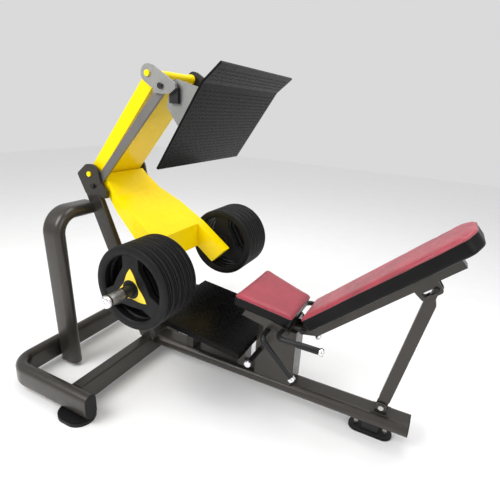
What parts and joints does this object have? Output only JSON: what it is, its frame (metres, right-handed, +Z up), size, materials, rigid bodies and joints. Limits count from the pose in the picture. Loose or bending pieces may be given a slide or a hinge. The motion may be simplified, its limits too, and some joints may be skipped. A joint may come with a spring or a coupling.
{
  "type": "plate-loaded leg press",
  "caption": "Plate-loaded leg press with an overhead press arm, parallel-link footplate, disc weights on two horns, seat and sloping backrest.",
  "frame": {"origin": "on the floor, under the middle of the bounding box", "axes": "+X towards the top of the backrest, +Y towards the user's left side seen from behind the arm, +Z up; the machine is alike on both sides of Y = 0, apart from the one link bar on the -Y side"},
  "size_m": [1.9684, 1.368, 1.556],
  "materials": {
    "frame_paint": "satin bronze-grey metallic powder coat",
    "arm_paint": "gloss yellow powder coat",
    "silver_paint": "satin silver grey paint",
    "link_paint": "satin grey paint",
    "black_paint": "satin black",
    "black_rubber": "matt black rubber",
    "grip_rubber": "matt black sleeve",
    "checker_steel": "black textured tread plate",
    "chrome": "polished",
    "red_vinyl": "red upholstery vinyl over foam",
    "zinc": "zinc plated"
  },
  "bodies": {
    "frame": {"base_loop": "frame_paint", "cross_tube": "frame_paint", "main_beam": "frame_paint", "beam_end_cap": "black_rubber", "rear_foot_pad": "black_rubber", "rear_foot_plate": "black_paint", "rear_foot_bolt_front": "zinc", "rear_foot_bolt_rear": "zinc", "step_deck": "checker_steel", "deck_support": "frame_paint", "seat_post": "frame_paint", "seat_frame": "frame_paint", "seat_pad": "red_vinyl", "strut_foot_bracket": "frame_paint", "strut_bottom_pin": "zinc", "foot_bar": "grip_rubber", "backrest_hinge_pin": "zinc", "guard_tube_near": "frame_paint", "upright_near": "frame_paint", "pivot_plate_near": "frame_paint", "base_end_cap_near": "black_rubber", "front_foot_near": "black_rubber", "grip_near": "grip_rubber", "guard_tube_far": "frame_paint", "upright_far": "frame_paint", "pivot_plate_far": "frame_paint", "base_end_cap_far": "black_rubber", "front_foot_far": "black_rubber", "grip_far": "grip_rubber", "link_bolt_lower": "black_paint"},
    "press_arm": {"press_arm": "arm_paint", "arm_shaft": "arm_paint", "arm_top_shaft": "arm_paint", "horn_near": "chrome", "horn_far": "chrome"},
    "carriage": {"footplate": "checker_steel", "carriage_bracket_near": "silver_paint", "carriage_side_near": "silver_paint", "carriage_bracket_far": "silver_paint", "carriage_side_far": "silver_paint", "link_bolt_upper": "black_paint"},
    "backrest": {"backrest_beam": "frame_paint", "backrest_pad": "red_vinyl"},
    "strut": {"strut": "frame_paint", "strut_top_pin": "zinc"},
    "stop_lever": {"stop_lever": "grip_rubber"},
    "link": {"link_bar": "link_paint"},
    "plate_1_near": {"plate_1_near": "black_rubber"},
    "plate_2_near": {"plate_2_near": "black_rubber"},
    "plate_3_near": {"plate_3_near": "black_rubber"},
    "plate_4_near": {"plate_4_near": "black_rubber"},
    "plate_5_near": {"plate_5_near": "black_rubber"},
    "plate_1_far": {"plate_1_far": "black_rubber"},
    "plate_2_far": {"plate_2_far": "black_rubber"},
    "plate_3_far": {"plate_3_far": "black_rubber"},
    "plate_4_far": {"plate_4_far": "black_rubber"},
    "plate_5_far": {"plate_5_far": "black_rubber"}
  },
  "joints": [
    {"name": "arm_swing", "type": "hinge", "parent": "frame", "child": "press_arm", "pos_m": [-0.804, 0, 1.043], "axis": [0, -1, 0], "range_deg": [0, 33]},
    {"name": "carriage_tilt", "type": "hinge", "parent": "press_arm", "child": "carriage", "pos_m": [-0.413, 0, 1.518], "axis": [0, -1, 0], "range_deg": [-18.27, 0]},
    {"name": "backrest_tilt", "type": "hinge", "parent": "frame", "child": "backrest", "pos_m": [0.34986, 0, 0.43613], "axis": [0, -1, 0], "range_deg": [0, 5]},
    {"name": "strut_swing", "type": "hinge", "parent": "frame", "child": "strut", "pos_m": [0.748, 0, 0.163], "axis": [0, -1, 0], "range_deg": [0, 6.15]},
    {"name": "lever_turn", "type": "hinge", "parent": "frame", "child": "stop_lever", "pos_m": [0.209, 0, 0.44], "axis": [0, -1, 0], "range_deg": [0, 20]},
    {"name": "link_swing", "type": "hinge", "parent": "frame", "child": "link", "pos_m": [-0.783, -0.155, 0.984], "axis": [0, -1, 0], "range_deg": [0, 30.91]},
    {"name": "plate_slide_1_near", "type": "slide", "parent": "press_arm", "child": "plate_1_near", "axis": [0, -1, 0], "range_m": [0, 0.024]},
    {"name": "plate_slide_2_near", "type": "slide", "parent": "plate_1_near", "child": "plate_2_near", "axis": [0, -1, 0], "range_m": [0, 0.024]},
    {"name": "plate_slide_3_near", "type": "slide", "parent": "plate_2_near", "child": "plate_3_near", "axis": [0, -1, 0], "range_m": [0, 0.024]},
    {"name": "plate_slide_4_near", "type": "slide", "parent": "plate_3_near", "child": "plate_4_near", "axis": [0, -1, 0], "range_m": [0, 0.024]},
    {"name": "plate_slide_5_near", "type": "slide", "parent": "plate_4_near", "child": "plate_5_near", "axis": [0, -1, 0], "range_m": [0, 0.024]},
    {"name": "plate_slide_1_far", "type": "slide", "parent": "press_arm", "child": "plate_1_far", "axis": [0, 1, 0], "range_m": [0, 0.024]},
    {"name": "plate_slide_2_far", "type": "slide", "parent": "plate_1_far", "child": "plate_2_far", "axis": [0, 1, 0], "range_m": [0, 0.024]},
    {"name": "plate_slide_3_far", "type": "slide", "parent": "plate_2_far", "child": "plate_3_far", "axis": [0, 1, 0], "range_m": [0, 0.024]},
    {"name": "plate_slide_4_far", "type": "slide", "parent": "plate_3_far", "child": "plate_4_far", "axis": [0, 1, 0], "range_m": [0, 0.024]},
    {"name": "plate_slide_5_far", "type": "slide", "parent": "plate_4_far", "child": "plate_5_far", "axis": [0, 1, 0], "range_m": [0, 0.024]}
  ],
  "couplings": [
    {"joint": "carriage_tilt", "follows": "arm_swing", "ratio": -0.5535},
    {"joint": "strut_swing", "follows": "backrest_tilt", "ratio": 1.23},
    {"joint": "link_swing", "follows": "arm_swing", "ratio": 0.9368}
  ]
}
